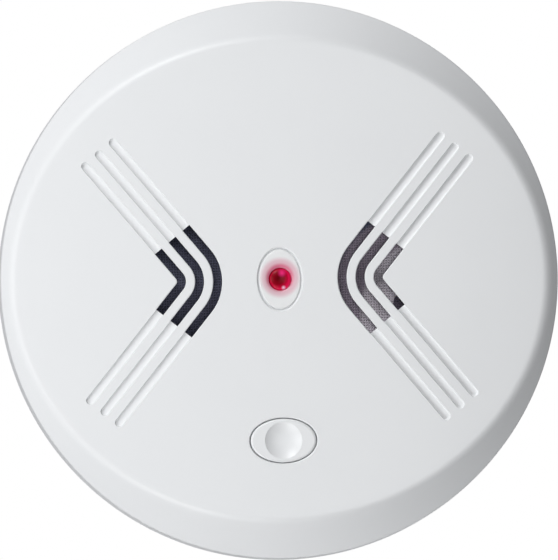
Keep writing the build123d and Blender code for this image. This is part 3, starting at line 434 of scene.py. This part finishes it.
white = (0.80, 0.815, 0.83)
finishTable = {
    "coverWhite": dict(
        grain="moulded", colour=white, shade=(0.775, 0.79, 0.808), roughness=0.42, spread=0.06, size=3200.0,
        bump=0.10, depth=0.02),
    "buttonWhite": dict(
        grain="moulded", colour=white, shade=(0.78, 0.795, 0.81), roughness=0.36, spread=0.05, size=3600.0,
        bump=0.06, depth=0.02),
    "bezelWhite": dict(
        grain="moulded", colour=(1, 1, 1), shade=(0.97, 0.97, 0.97), roughness=0.33, spread=0.05,
        size=3600.0, bump=0.05, depth=0.02, tint=paintedGlowTint),
    "housingWhite": dict(
        grain="moulded", colour=(0.77, 0.785, 0.80), shade=(0.74, 0.755, 0.775), roughness=0.5, spread=0.08,
        size=2400.0, bump=0.18, depth=0.03),
    "plateWhite": dict(
        grain="moulded", colour=(0.76, 0.77, 0.77), shade=(0.73, 0.74, 0.74), roughness=0.55, spread=0.08,
        size=2200.0, bump=0.22, depth=0.03),
    "lampRed": dict(
        grain="moulded", colour=(1, 1, 1), shade=(0.92, 0.92, 0.92), roughness=0.3, spread=0.02, size=900.0,
        bump=0.01, depth=0.01, tint=lampPaintedLightTint, IOR=1.2),
    "meshNavy": dict(
        grain="moulded", colour=(0.053, 0.058, 0.096), shade=(0.068, 0.065, 0.094), roughness=0.6,
        spread=0.2, size=700.0, bump=0.2, depth=0.03),
    "meshSounder": dict(
        grain="moulded", colour=(0.49, 0.475, 0.505), shade=(0.40, 0.37, 0.415), roughness=0.55, spread=0.2,
        size=700.0, bump=0.2, depth=0.03, tint=sounderLightShadeTint),
    "springSteel": dict(
        grain="drawn", colour=(0.62, 0.62, 0.63), shade=(0.45, 0.45, 0.46), roughness=0.28, spread=0.2,
        Metallic=1.0),
    "guideGrey": dict(
        grain="moulded", colour=(0.30, 0.31, 0.32), shade=(0.24, 0.25, 0.26), roughness=0.55),
    "switchBlack": dict(
        grain="moulded", colour=(0.03, 0.03, 0.032), shade=(0.05, 0.05, 0.052), roughness=0.5),
    "plungerCream": dict(
        grain="moulded", colour=(0.66, 0.65, 0.60), shade=(0.60, 0.58, 0.52), roughness=0.4),
    "spacerNylon": dict(
        grain="moulded", colour=(0.70, 0.67, 0.58), shade=(0.62, 0.58, 0.48), roughness=0.4,
        Subsurface_Weight=0.1),
    "tinnedWire": dict(
        grain="drawn", colour=(0.70, 0.70, 0.71), shade=(0.52, 0.52, 0.54), roughness=0.3, spread=0.25,
        Metallic=1.0),
    "screwZinc": dict(
        grain="drawn", colour=(0.66, 0.64, 0.56), shade=(0.50, 0.48, 0.42), roughness=0.33, spread=0.25,
        size=1400.0, Metallic=1.0),
    "boardGreen": dict(
        grain="moulded", colour=(0.012, 0.13, 0.045), shade=(0.009, 0.10, 0.035), roughness=0.3, spread=0.1,
        size=1500.0, bump=0.1, depth=0.02, tint=trackTint),
    "chamberBlack": dict(
        grain="moulded", colour=(0.016, 0.016, 0.018), shade=(0.026, 0.026, 0.028), roughness=0.62),
    "screenSteel": dict(
        grain="drawn", colour=(0.42, 0.42, 0.43), shade=(0.26, 0.26, 0.27), roughness=0.4, spread=0.3,
        size=2600.0, bump=0.6, depth=0.1, Metallic=1.0),
    "emitterClear": dict(
        grain="moulded", colour=(0.40, 0.48, 0.66), shade=(0.34, 0.42, 0.60), roughness=0.1,
        Transmission_Weight=0.6),
    "detectorDark": dict(
        grain="moulded", colour=(0.03, 0.02, 0.05), shade=(0.05, 0.03, 0.07), roughness=0.12),
    "sounderGrey": dict(
        grain="moulded", colour=(0.34, 0.32, 0.35), shade=(0.28, 0.26, 0.29), roughness=0.6, spread=0.1,
        size=2400.0, bump=0.2, depth=0.03, tint=sounderLightShadeTint),
    "sounderBase": dict(
        grain="moulded", colour=(0.05, 0.05, 0.06), shade=(0.07, 0.07, 0.08), roughness=0.6),
    "brassDisc": dict(
        grain="drawn", colour=(0.70, 0.52, 0.22), shade=(0.52, 0.36, 0.14), roughness=0.3, spread=0.25,
        Metallic=1.0),
    "ceramicDisc": dict(
        grain="moulded", colour=(0.66, 0.63, 0.56), shade=(0.58, 0.55, 0.48), roughness=0.6),
    "contactGold": dict(
        grain="drawn", colour=(0.80, 0.60, 0.26), shade=(0.62, 0.44, 0.18), roughness=0.25, spread=0.2,
        Metallic=1.0),
    "batteryJacket": dict(
        grain="drawn", colour=(0.03, 0.035, 0.05), shade=(0.05, 0.055, 0.07), roughness=0.3, spread=0.15,
        size=1200.0, bump=0.05, depth=0.02, tint=jacketTint, Metallic=0.6),
    "terminalNickel": dict(
        grain="drawn", colour=(0.74, 0.72, 0.68), shade=(0.55, 0.53, 0.50), roughness=0.2, spread=0.2,
        Metallic=1.0),
    "leadRed": dict(
        grain="moulded", colour=(0.46, 0.015, 0.015), shade=(0.36, 0.01, 0.01), roughness=0.4),
    "leadBlack": dict(
        grain="moulded", colour=(0.016, 0.016, 0.016), shade=(0.03, 0.03, 0.03), roughness=0.4),
    "chipBlack": dict(
        grain="moulded", colour=(0.018, 0.018, 0.02), shade=(0.035, 0.035, 0.037), roughness=0.55,
        spread=0.1, size=3000.0, bump=0.3, depth=0.03),
    "canSleeve": dict(
        grain="moulded", colour=(0.012, 0.02, 0.08), shade=(0.02, 0.03, 0.10), roughness=0.28),
    "lensTan": dict(
        grain="moulded", colour=(0.58, 0.28, 0.05), shade=(0.48, 0.21, 0.04), roughness=0.3),
    "resistorBeige": dict(
        grain="moulded", colour=(0.62, 0.50, 0.33), shade=(0.55, 0.43, 0.27), roughness=0.32, spread=0.05,
        size=1800.0, bump=0.05, depth=0.02, tint=bandTint),
    "ferriteGrey": dict(
        grain="moulded", colour=(0.035, 0.035, 0.038), shade=(0.06, 0.06, 0.062), roughness=0.6, spread=0.1,
        size=1600.0, bump=0.4, depth=0.03),
    "windingCopper": dict(
        grain="drawn", colour=(0.66, 0.28, 0.11), shade=(0.50, 0.18, 0.07), roughness=0.25, spread=0.2,
        Metallic=1.0),
}
finishes = {name: finishMaterial(name, **settings) for name, settings in finishTable.items()}
print("stage: finishes ready")

# pieces kept from the frame

kept = {
    "mounting_plate": "plateWhite", "rear_housing": "housingWhite", "led_leads": "tinnedWire",
    "led_spacer": "spacerNylon", "button_guide": "guideGrey", "switch_body": "switchBlack",
    "switch_plunger": "plungerCream", "circuit_board": "boardGreen", "board_screws": "screwZinc",
    "case_screws": "screwZinc", "chamber_base": "chamberBlack", "chamber_cap": "chamberBlack",
    "chamber_screen": "screenSteel", "infrared_emitter": "emitterClear", "photodiode": "detectorDark",
    "sounder_base": "sounderBase", "sounder_cap": "sounderGrey", "brass_disc": "brassDisc",
    "ceramic_disc": "ceramicDisc", "sounder_contacts": "contactGold", "battery": "batteryJacket",
    "battery_terminals": "terminalNickel", "battery_contacts": "tinnedWire", "red_lead": "leadRed",
    "black_lead": "leadBlack", "main_chip": "chipBlack", "chip_pins": "tinnedWire",
    "electrolytic_capacitors": "canSleeve", "ceramic_capacitors": "lensTan", "transistors": "chipBlack",
    "resistors": "resistorBeige", "resistor_leads": "tinnedWire", "coil_core": "ferriteGrey",
}
for node, finish in kept.items():
    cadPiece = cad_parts[node]
    for place in cadPiece.material_slots:
        place.material = finishes[finish]
print("stage: frame pieces finished")

# front cover

moat = dict(halfX=4.8, halfY=6.75, depth=0.48, mouth=0.34, floor=0.14, floorWidth=0.6, segments=96)
lampHole = dict(radius=2.6, bottom=34, top=41, segments=64)
button = dict(
    y=-34.75, halfX=7.1, halfY=4.75, gap=0.17, mouth=0.32, edgeRound=0.55, flangeRim=1.6, flangeTop=37.65,
    flangeBottom=36.45, stem=2.5, stemBottom=17.45, dimple=4.0, dimpleDepth=1.1, rimSoft=0.45,
    segments=144, flangeInset=1.5, stemSunk=0.4, stemChamfer=0.3, stemSegments=48, ballSegments=160,
    ballRings=120,
)
chevrons = dict(
    bend=23.1, radii=(9.7, 5.8, 1.9), armAngle=50.7, halfWidth=0.975, edgeWall=0.16, edgeDrop=0.34,
    floorSlope=30, slotReach=6.95, grooveReach=31.0, slotHalf=0.965, slotMouth=0.22, slotDepth=6.0,
    clear=0.8, flare=0.05, flareTop=0.1, armSteps=14, bendSteps=14, capSteps=12,
)


def caseProfile():
    radius, rim = case["radius"], case["height"] - case["bevelWidth"]
    skirt, split, lean = case["skirtRound"], case["splitHeight"], case["rimRound"]
    yield from arcPoints(radius - skirt, split + skirt, skirt, -90, 0, 4)
    setBack = lean * tan(radians(22.5))
    yield (radius, (split + rim) / 2)
    yield from arcPoints(radius - lean, rim - setBack, lean, 0, 45, 5)
    reach = radius - lean * (1 - cos(radians(45))) - case["edgeRing"]
    while reach > case["edgeZone"]:
        yield (reach, rim + radius - reach)
        reach -= case["edgeRing"]
    while reach > case["faceRing"] / 2:
        yield (reach, case["height"])
        reach -= case["faceRing"]
    yield (case["centreHole"], case["height"])


def faceHeight(x, y):
    cone = case["height"] - case["bevelWidth"] + case["radius"] - hypot(x, y)
    crown = crownHeight(x)
    overlap = max(case["edgeBlend"] - abs(cone - crown), 0.0)
    return min(cone, crown) - overlap * overlap / (4 * case["edgeBlend"])


def makeFrontShell():
    bm = bmesh.new()
    turnProfile(bm, list(caseProfile()), case["segments"])
    closeUp(bm, fill=False)
    centre = [e for e in bm.edges if e.is_boundary and e.verts[0].co.z > case["height"] - 1]
    bmesh.ops.holes_fill(bm, edges=centre, sides=0)
    rimTop = case["height"] - case["bevelWidth"] + case["rimMargin"]
    for v in bm.verts:
        if v.co.z > rimTop:
            v.co.z = faceHeight(v.co.x, v.co.y)
    bmesh.ops.recalc_face_normals(bm, faces=bm.faces)
    if sum(f.normal.z for f in bm.faces) < 0:
        bmesh.ops.reverse_faces(bm, faces=bm.faces)
    piece = addPiece("frontShell", bm, finishes["coverWhite"], None)
    wall = piece.modifiers.new("wall", "SOLIDIFY")
    wall.thickness = case["wall"] * mm
    wall.offset = -1
    wall.use_even_offset = True
    applyStack(piece)
    return piece


def grooveProfile():
    # half of the section: a shallow arc between steep edges, then up clear of the face
    half, wall, drop = chevrons["halfWidth"], chevrons["edgeWall"], chevrons["edgeDrop"]
    slope = chevrons["floorSlope"]
    radius = (half - wall) / sin(radians(slope))
    yield from arcPoints(0, radius * cos(radians(slope)) - drop, radius, -90, slope - 90, 5)
    yield (half, 0)
    yield (half + chevrons["flare"], chevrons["flareTop"])
    yield (half + chevrons["flare"], chevrons["clear"])
    yield (0, chevrons["clear"])


def slotProfile():
    half, mouth = chevrons["slotHalf"], chevrons["slotMouth"]
    yield (0, -chevrons["slotDepth"])
    yield (half, -chevrons["slotDepth"])
    yield from arcPoints(half + mouth, -mouth, mouth, 180, 112, 4)
    yield (half + mouth, chevrons["flare"])
    yield (half + mouth, chevrons["clear"])
    yield (0, chevrons["clear"])


def sweepChevron(bm, radius, half, reach, roundEnd):
    outline = half + [(-u, z) for u, z in reversed(half[1:-1])]
    turn = radians(chevrons["armAngle"])
    middle = Vector((chevrons["bend"], 0, 0))

    def section(points, base, lead, closed):
        return addPath(bm, [base + lead * u + Vector((0, 0, z)) for u, z in points], closed)

    for side in (1, -1):
        lead = Vector((-sin(turn), side * cos(turn), 0))
        along = Vector((cos(turn), side * sin(turn), 0))
        foot = middle + lead * radius
        steps = chevrons["armSteps"]
        geom = section(outline, foot, lead, True)
        bmesh.ops.spin(bm, geom=geom, cent=foot, axis=(0, 0, 1), dvec=along * reach / steps, angle=0,
                       steps=steps, use_duplicate=False)
        if roundEnd:
            end = foot + along * reach
            geom = section(half, end, lead, False)
            bmesh.ops.spin(bm, geom=geom, cent=end, axis=(0, 0, 1), dvec=(0, 0, 0), angle=-side * pi,
                           steps=chevrons["capSteps"], use_duplicate=False)
    geom = section(outline, middle + Vector((-sin(turn), cos(turn), 0)) * radius,
                   Vector((-sin(turn), cos(turn), 0)), True)
    bmesh.ops.spin(bm, geom=geom, cent=middle, axis=(0, 0, 1), dvec=(0, 0, 0), angle=pi - 2 * turn,
                   steps=chevrons["bendSteps"], use_duplicate=False)


def cutChevrons(bm, half, reach, roundEnd):
    part = bmesh.new()
    for radius in chevrons["radii"]:
        sweepChevron(part, radius, half, reach, roundEnd)
    closeUp(part, fill=not roundEnd)
    bmesh.ops.mirror(part, geom=part.verts[:] + part.edges[:] + part.faces[:], axis="X", merge_dist=0)
    bmesh.ops.recalc_face_normals(part, faces=part.faces)
    drape(part)
    addTo(bm, part)


def drape(part):
    for v in part.verts:
        v.co.z += crownHeight(v.co.x)


def cutMoat(bm):
    part = bmesh.new()
    depth, mouth, floor, half = moat["depth"], moat["mouth"], moat["floor"], moat["halfX"]
    points = [(half - floor - moat["floorWidth"], -depth)]
    points += arcPoints(half - floor, floor - depth, floor, -90, 0, 4)
    points += arcPoints(half + mouth, -mouth, mouth, 180, 108, 5)
    points += [(half + mouth, chevrons["flareTop"]), (half + mouth, chevrons["clear"])]
    turnProfile(part, points, moat["segments"])
    ovalise(part, half, moat["halfY"])
    closeUp(part)
    drape(part)
    addTo(bm, part)


def cutButtonHole(bm):
    part = bmesh.new()
    mouth, half = button["mouth"], button["halfX"] + button["gap"]
    points = [(half, -2.5 * case["wall"])]
    points += arcPoints(half + mouth, -mouth, mouth, 180, 108, 6)
    points += [(half + mouth, chevrons["flareTop"]), (half + mouth, chevrons["clear"])]
    turnProfile(part, points, button["segments"])
    ovalise(part, half, button["halfY"] + button["gap"])
    closeUp(part)
    drape(part)
    shift(part, y=button["y"])
    addTo(bm, part)


def cutLampHole(bm):
    part = bmesh.new()
    ends = (lampHole["bottom"], lampHole["top"])
    turnProfile(part, [(lampHole["radius"], end) for end in ends], lampHole["segments"])
    closeUp(part)
    addTo(bm, part)


frontShell = makeFrontShell()
shallow, through = bmesh.new(), bmesh.new()
cutChevrons(shallow, list(grooveProfile()), chevrons["grooveReach"], True)
cutMoat(shallow)
cutButtonHole(shallow)
cutChevrons(through, list(slotProfile()), chevrons["slotReach"], False)
cutLampHole(through)
cutAway(frontShell, addPiece("shallowCut", shallow, None, None))
cutAway(frontShell, addPiece("throughCut", through, None, None))
softEdges(frontShell, 32)
evenShade(frontShell)
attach(frontShell, "detector")
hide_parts("front_cover")
print("stage: front cover", len(frontShell.data.polygons), "faces")

bosses = dict(
    circle=53.5, radius=2.8, bore=1.35, bottom=13.9, drill=29.9, bevelClear=1.2, segments=40,
    angles=(45, 135, 225, 315),
)


def makeBosses():
    bm = bmesh.new()
    outer, bore = bosses["radius"], bosses["bore"]
    for angle in bosses["angles"]:
        x, y = bosses["circle"] * cos(radians(angle)), bosses["circle"] * sin(radians(angle))
        part = bmesh.new()
        rise = crownHeight(x) - case["wall"]
        slope = case["height"] - case["bevelWidth"] + case["radius"] - bosses["circle"] - outer
        slope -= bosses["bevelClear"]
        turnProfile(part, [(0, min(slope, rise)), (outer, min(slope, rise)), (outer, bosses["bottom"]),
                           (bore, bosses["bottom"]), (bore, bosses["drill"]), (0, bosses["drill"])],
                    bosses["segments"])
        closeUp(part)
        shift(part, x, y)
        addTo(bm, part)
    return addPiece("coverBosses", bm, finishes["coverWhite"], stands=("front_cover",))


makeBosses()

# test button


def makeButton():
    bm = bmesh.new()
    top, half, rounding = case["height"], button["halfX"], button["edgeRound"]
    points = list(arcPoints(half - rounding, top - rounding, rounding, 90, 0, 6))
    rim, high, low = half + button["flangeRim"], button["flangeTop"], button["flangeBottom"]
    points += [(half, high), (rim, high), (rim, low), (half - button["flangeInset"], low)]
    turnProfile(bm, points, button["segments"])
    ovalise(bm, half, button["halfY"])
    closeUp(bm)
    shift(bm, y=button["y"])
    cap = addPiece("buttonCap", bm, finishes["buttonWhite"], None)
    ball = bmesh.new()
    dimple, depth = button["dimple"], button["dimpleDepth"]
    size = (dimple * dimple + depth * depth) / (2 * depth)
    bmesh.ops.create_uvsphere(ball, u_segments=button["ballSegments"], v_segments=button["ballRings"],
                              radius=size)
    shift(ball, y=button["y"], z=top - depth + size)
    cutAway(cap, addPiece("dimpleCut", ball, None, None))
    soft = cap.modifiers.new("soft", "BEVEL")
    soft.width = button["rimSoft"] * mm
    soft.segments = 3
    soft.limit_method = "ANGLE"
    soft.angle_limit = radians(21)
    applyStack(cap)
    softEdges(cap, 30)
    evenShade(cap)
    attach(cap, "button")
    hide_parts("test_button")
    stem = bmesh.new()
    radius, low, chamfer = button["stem"], button["stemBottom"], button["stemChamfer"]
    high = button["flangeBottom"] + button["stemSunk"]
    turnProfile(stem, [(0, high), (radius, high), (radius, low + chamfer), (radius - chamfer, low), (0, low)],
                button["stemSegments"])
    closeUp(stem)
    shift(stem, y=button["y"])
    addPiece("buttonStem", stem, finishes["buttonWhite"], "button",
             stands=("test_button",))


makeButton()
print("stage: button")

# status light and its bezel

bezel = dict(
    halfX=4.5, halfY=6.45, top=39.85, bottom=39.52, edgeRound=0.3, hole=2.48, holeEdge=0.12, dish=0.3,
    flatRim=0.35, dishSteps=8, segments=96,
)
lamp = dict(radius=2.45, tip=39.9, rise=0.95, base=31.3, flange=2.9, flangeHeight=1.0, segments=72)


def makeBezel():
    bm = bmesh.new()
    half, top, rounding = bezel["halfX"], bezel["top"], bezel["edgeRound"]
    flat = half - rounding
    points = [(bezel["hole"], bezel["bottom"]), (bezel["hole"], top - bezel["dish"] - bezel["holeEdge"])]
    for step in range(bezel["dishSteps"] + 1):
        share = step / bezel["dishSteps"]
        reach = bezel["hole"] + bezel["holeEdge"] + (flat - bezel["flatRim"] - bezel["hole"]) * share
        points.append((reach, top - bezel["dish"] * (1 - share) ** 2))
    points += arcPoints(flat, top - rounding, rounding, 90, 0, 6)
    points.append((half, bezel["bottom"]))
    turnProfile(bm, points + points[:1], bezel["segments"])
    ovalise(bm, half, bezel["halfY"], bezel["hole"])
    closeUp(bm, fill=False)
    return addPiece("lampBezel", bm, finishes["bezelWhite"], stands=("led_bezel",))


def makeLamp():
    bm = bmesh.new()
    radius, tip = lamp["radius"], lamp["tip"]
    low, flange = lamp["base"], lamp["flange"]
    high = low + lamp["flangeHeight"]
    points = [(0, low), (flange, low), (flange, high), (radius, high)]
    shoulder = tip - lamp["rise"]
    points += [(r, shoulder + z * lamp["rise"] / radius) for r, z in arcPoints(0, 0, radius, 0, 90, 16)]
    turnProfile(bm, points, lamp["segments"])
    closeUp(bm)
    return addPiece("lampDome", bm, finishes["lampRed"], stands=("status_led",))


makeBezel()
makeLamp()
print("stage: status light")

# woven screens behind the slots

screen = dict(innerX=9.0, outerX=31.5, halfY=15.5, depth=2.28, pitch=0.56, wire=0.19, weave=0.05)


def makeStrand(length, across, phase):
    # one wire from the origin, waving over and under those it crosses
    part = bmesh.new()
    steps = round(2 * length / screen["pitch"])
    along = Vector((0, 1, 0)) if across == "X" else Vector((1, 0, 0))
    ring = bmesh.ops.create_circle(part, cap_ends=False, radius=screen["wire"], segments=4)["verts"]
    bmesh.ops.rotate(part, verts=ring, cent=(0, 0, 0), matrix=Matrix.Rotation(pi / 2, 3, across))
    bmesh.ops.spin(part, geom=part.verts[:] + part.edges[:], cent=(0, 0, 0), axis=(0, 0, 1),
                   dvec=along * length / steps, angle=0, steps=steps, use_duplicate=False)
    closeUp(part)
    for v in part.verts:
        v.co.z += phase * screen["weave"] * cos(pi * v.co.dot(along) / screen["pitch"])
    mesh = bpy.data.meshes.new("strand")
    part.to_mesh(mesh)
    part.free()
    return mesh


def makeScreen(name, side, material, stands):
    bm = bmesh.new()
    pitch, wire = screen["pitch"], screen["wire"]
    middle = side * (screen["innerX"] + screen["outerX"]) / 2
    columns = int((screen["outerX"] - screen["innerX"] - 2 * wire) / pitch)
    rows = int(2 * (screen["halfY"] - wire) / pitch)
    corner = Vector((middle - columns * pitch / 2, -rows * pitch / 2, 0))
    for count, across, step, length in ((columns, "X", Vector((1, 0, 0)), rows * pitch),
                                        (rows, "Y", Vector((0, 1, 0)), columns * pitch)):
        start = -1 if across == "X" else 1
        for parity in (0, 1):
            strand = makeStrand(length, across, start if parity == 0 else -start)
            strand.transform(Matrix.Translation(corner + step * pitch * parity))
            for place in range(parity, count + 1, 2):
                bm.from_mesh(strand)
                strand.transform(Matrix.Translation(step * pitch * 2))
            bpy.data.meshes.remove(strand)
    for v in bm.verts:
        v.co.z += crownHeight(v.co.x, screen["depth"])
    return addPiece(name, bm, material, stands=stands)


makeScreen("leftMesh", -1, finishes["meshNavy"], ("left_slot_screen",))
makeScreen("rightMesh", 1, finishes["meshSounder"], ("right_slot_screen",))
print("stage: slot screens")

# coiled wires

coil = dict(ringSegments=10, turnSteps=28, endGap=0.02)
spring = dict(radius=3.44, wire=0.42, bottom=24.6, top=36.45, turns=5.5, travel=1.0)
winding = dict(x=31.5, y=-27.0, radius=3.38, wire=0.28, bottom=13.8, top=20.9, turns=12)


def makeCoil(name, form, x, y, material, stands):
    bm = bmesh.new()
    ring = bmesh.ops.create_circle(bm, cap_ends=False, radius=form["wire"],
                                   segments=coil["ringSegments"])["verts"]
    bmesh.ops.rotate(bm, verts=ring, cent=(0, 0, 0), matrix=Matrix.Rotation(pi / 2, 3, "X"))
    low, high = form["bottom"] + form["wire"] + coil["endGap"], form["top"] - form["wire"] - coil["endGap"]
    bmesh.ops.translate(bm, verts=ring, vec=(form["radius"], 0, low))
    edges = list({e for v in ring for e in v.link_edges})
    steps = int(form["turns"] * coil["turnSteps"])
    bmesh.ops.spin(bm, geom=ring + edges, cent=(0, 0, 0), axis=(0, 0, 1), dvec=(0, 0, (high - low) / steps),
                   angle=2 * pi * form["turns"], steps=steps, use_duplicate=False)
    closeUp(bm)
    shift(bm, x, y)
    return addPiece(name, bm, finishes[material], stands=stands, sharp=60)


springCoil = makeCoil("springCoil", spring, 0, button["y"], "springSteel", ("button_spring",))
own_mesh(springCoil)
makeCoil("coilTurns", winding, winding["x"], winding["y"], "windingCopper", ("coil_winding",))
print("stage: coils")

# floor, light and camera

# distance and size in metres; each lamp's name, height and bearing in degrees, and watts
studio = dict(
    distance=1.5, size=0.75, air=0.015, sky=(0.93, 0.96, 1.0), floorGrey=(0.35, 0.35, 0.36), floorHalf=4000,
    lamps=(("backHigh", 35, 120, 13.5), ("frontHigh", 35, 240, 7.9), ("side", 40, 180, 5.5),
           ("above", 74, 0, 3.9), ("backLow", 16, 85, 2.9), ("frontLow", 16, 275, 3.6),
           ("frontEdge", 14, 250, 2.4)),
)


def addLight(name, height, bearing, power):
    data = bpy.data.lights.new(name, "AREA")
    data.shape = "DISK"
    data.size = studio["size"]
    data.energy = power
    lightObject = bpy.data.objects.new(name, data)
    height, bearing = radians(height), radians(bearing)
    place = Vector((cos(height) * cos(bearing), cos(height) * sin(bearing), sin(height))) * studio["distance"]
    lightObject.location = place + Vector((0, 0, case["height"] * mm))
    lightObject.rotation_euler = place.to_track_quat("Z", "Y").to_euler()
    bpy.context.scene.collection.objects.link(lightObject)


for settings in studio["lamps"]:
    addLight(*settings)

world = bpy.data.worlds.new("studioAir")
world.use_nodes = True
world.node_tree.nodes["Background"].inputs["Color"].default_value = (*studio["sky"], 1)
world.node_tree.nodes["Background"].inputs["Strength"].default_value = studio["air"]
bpy.context.scene.world = world


def makeFloor():
    bm = bmesh.new()
    bmesh.ops.create_grid(bm, x_segments=8, y_segments=8, size=studio["floorHalf"])
    floor = addPiece("floor", bm, None, None)
    material = bpy.data.materials.new("paleFloor")
    material.use_nodes = True
    tree = material.node_tree
    tree.nodes.remove(tree.nodes["Principled BSDF"])
    output = tree.nodes["Material Output"]
    path = addNode(tree, "ShaderNodeLightPath")
    plain = addNode(tree, "ShaderNodeBsdfDiffuse")
    plain.inputs["Color"].default_value = (*studio["floorGrey"], 1)
    glow = addNode(tree, "ShaderNodeEmission")
    blend = addNode(tree, "ShaderNodeMixShader")
    tree.links.new(path.outputs["Is Camera Ray"], blend.inputs[0])
    tree.links.new(plain.outputs[0], blend.inputs[1])
    tree.links.new(glow.outputs[0], blend.inputs[2])
    tree.links.new(blend.outputs[0], output.inputs["Surface"])
    floor.data.materials.append(material)


makeFloor()

cameraSet = dict(
    distance=0.6, leanX=1.4, leanY=0.85, roll=-1.25, view=0.12057, aimHeight=36.0, right=-0.13, up=-0.11,
)
eye = Vector((-tan(radians(cameraSet["leanX"])), -tan(radians(cameraSet["leanY"])), 1)) * cameraSet["distance"]
cameraData = bpy.data.cameras.new("camera")
cameraData.type = "ORTHO"
cameraData.ortho_scale = cameraSet["view"]
camera = bpy.data.objects.new("camera", cameraData)
camera.location = eye + Vector((0, 0, cameraSet["aimHeight"] * mm))
roll = radians(cameraSet["roll"])
back = eye.normalized()
up = Vector((-sin(roll), cos(roll), 0))
side = up.cross(back).normalized()
up = back.cross(side)
camera.location += (side * cameraSet["right"] + up * cameraSet["up"]) * mm
camera.rotation_euler = Matrix((side, up, back)).transposed().to_euler()
bpy.context.scene.collection.objects.link(camera)
bpy.context.scene.camera = camera
bpy.context.scene.view_settings.view_transform = "Standard"
print("stage: camera and light")
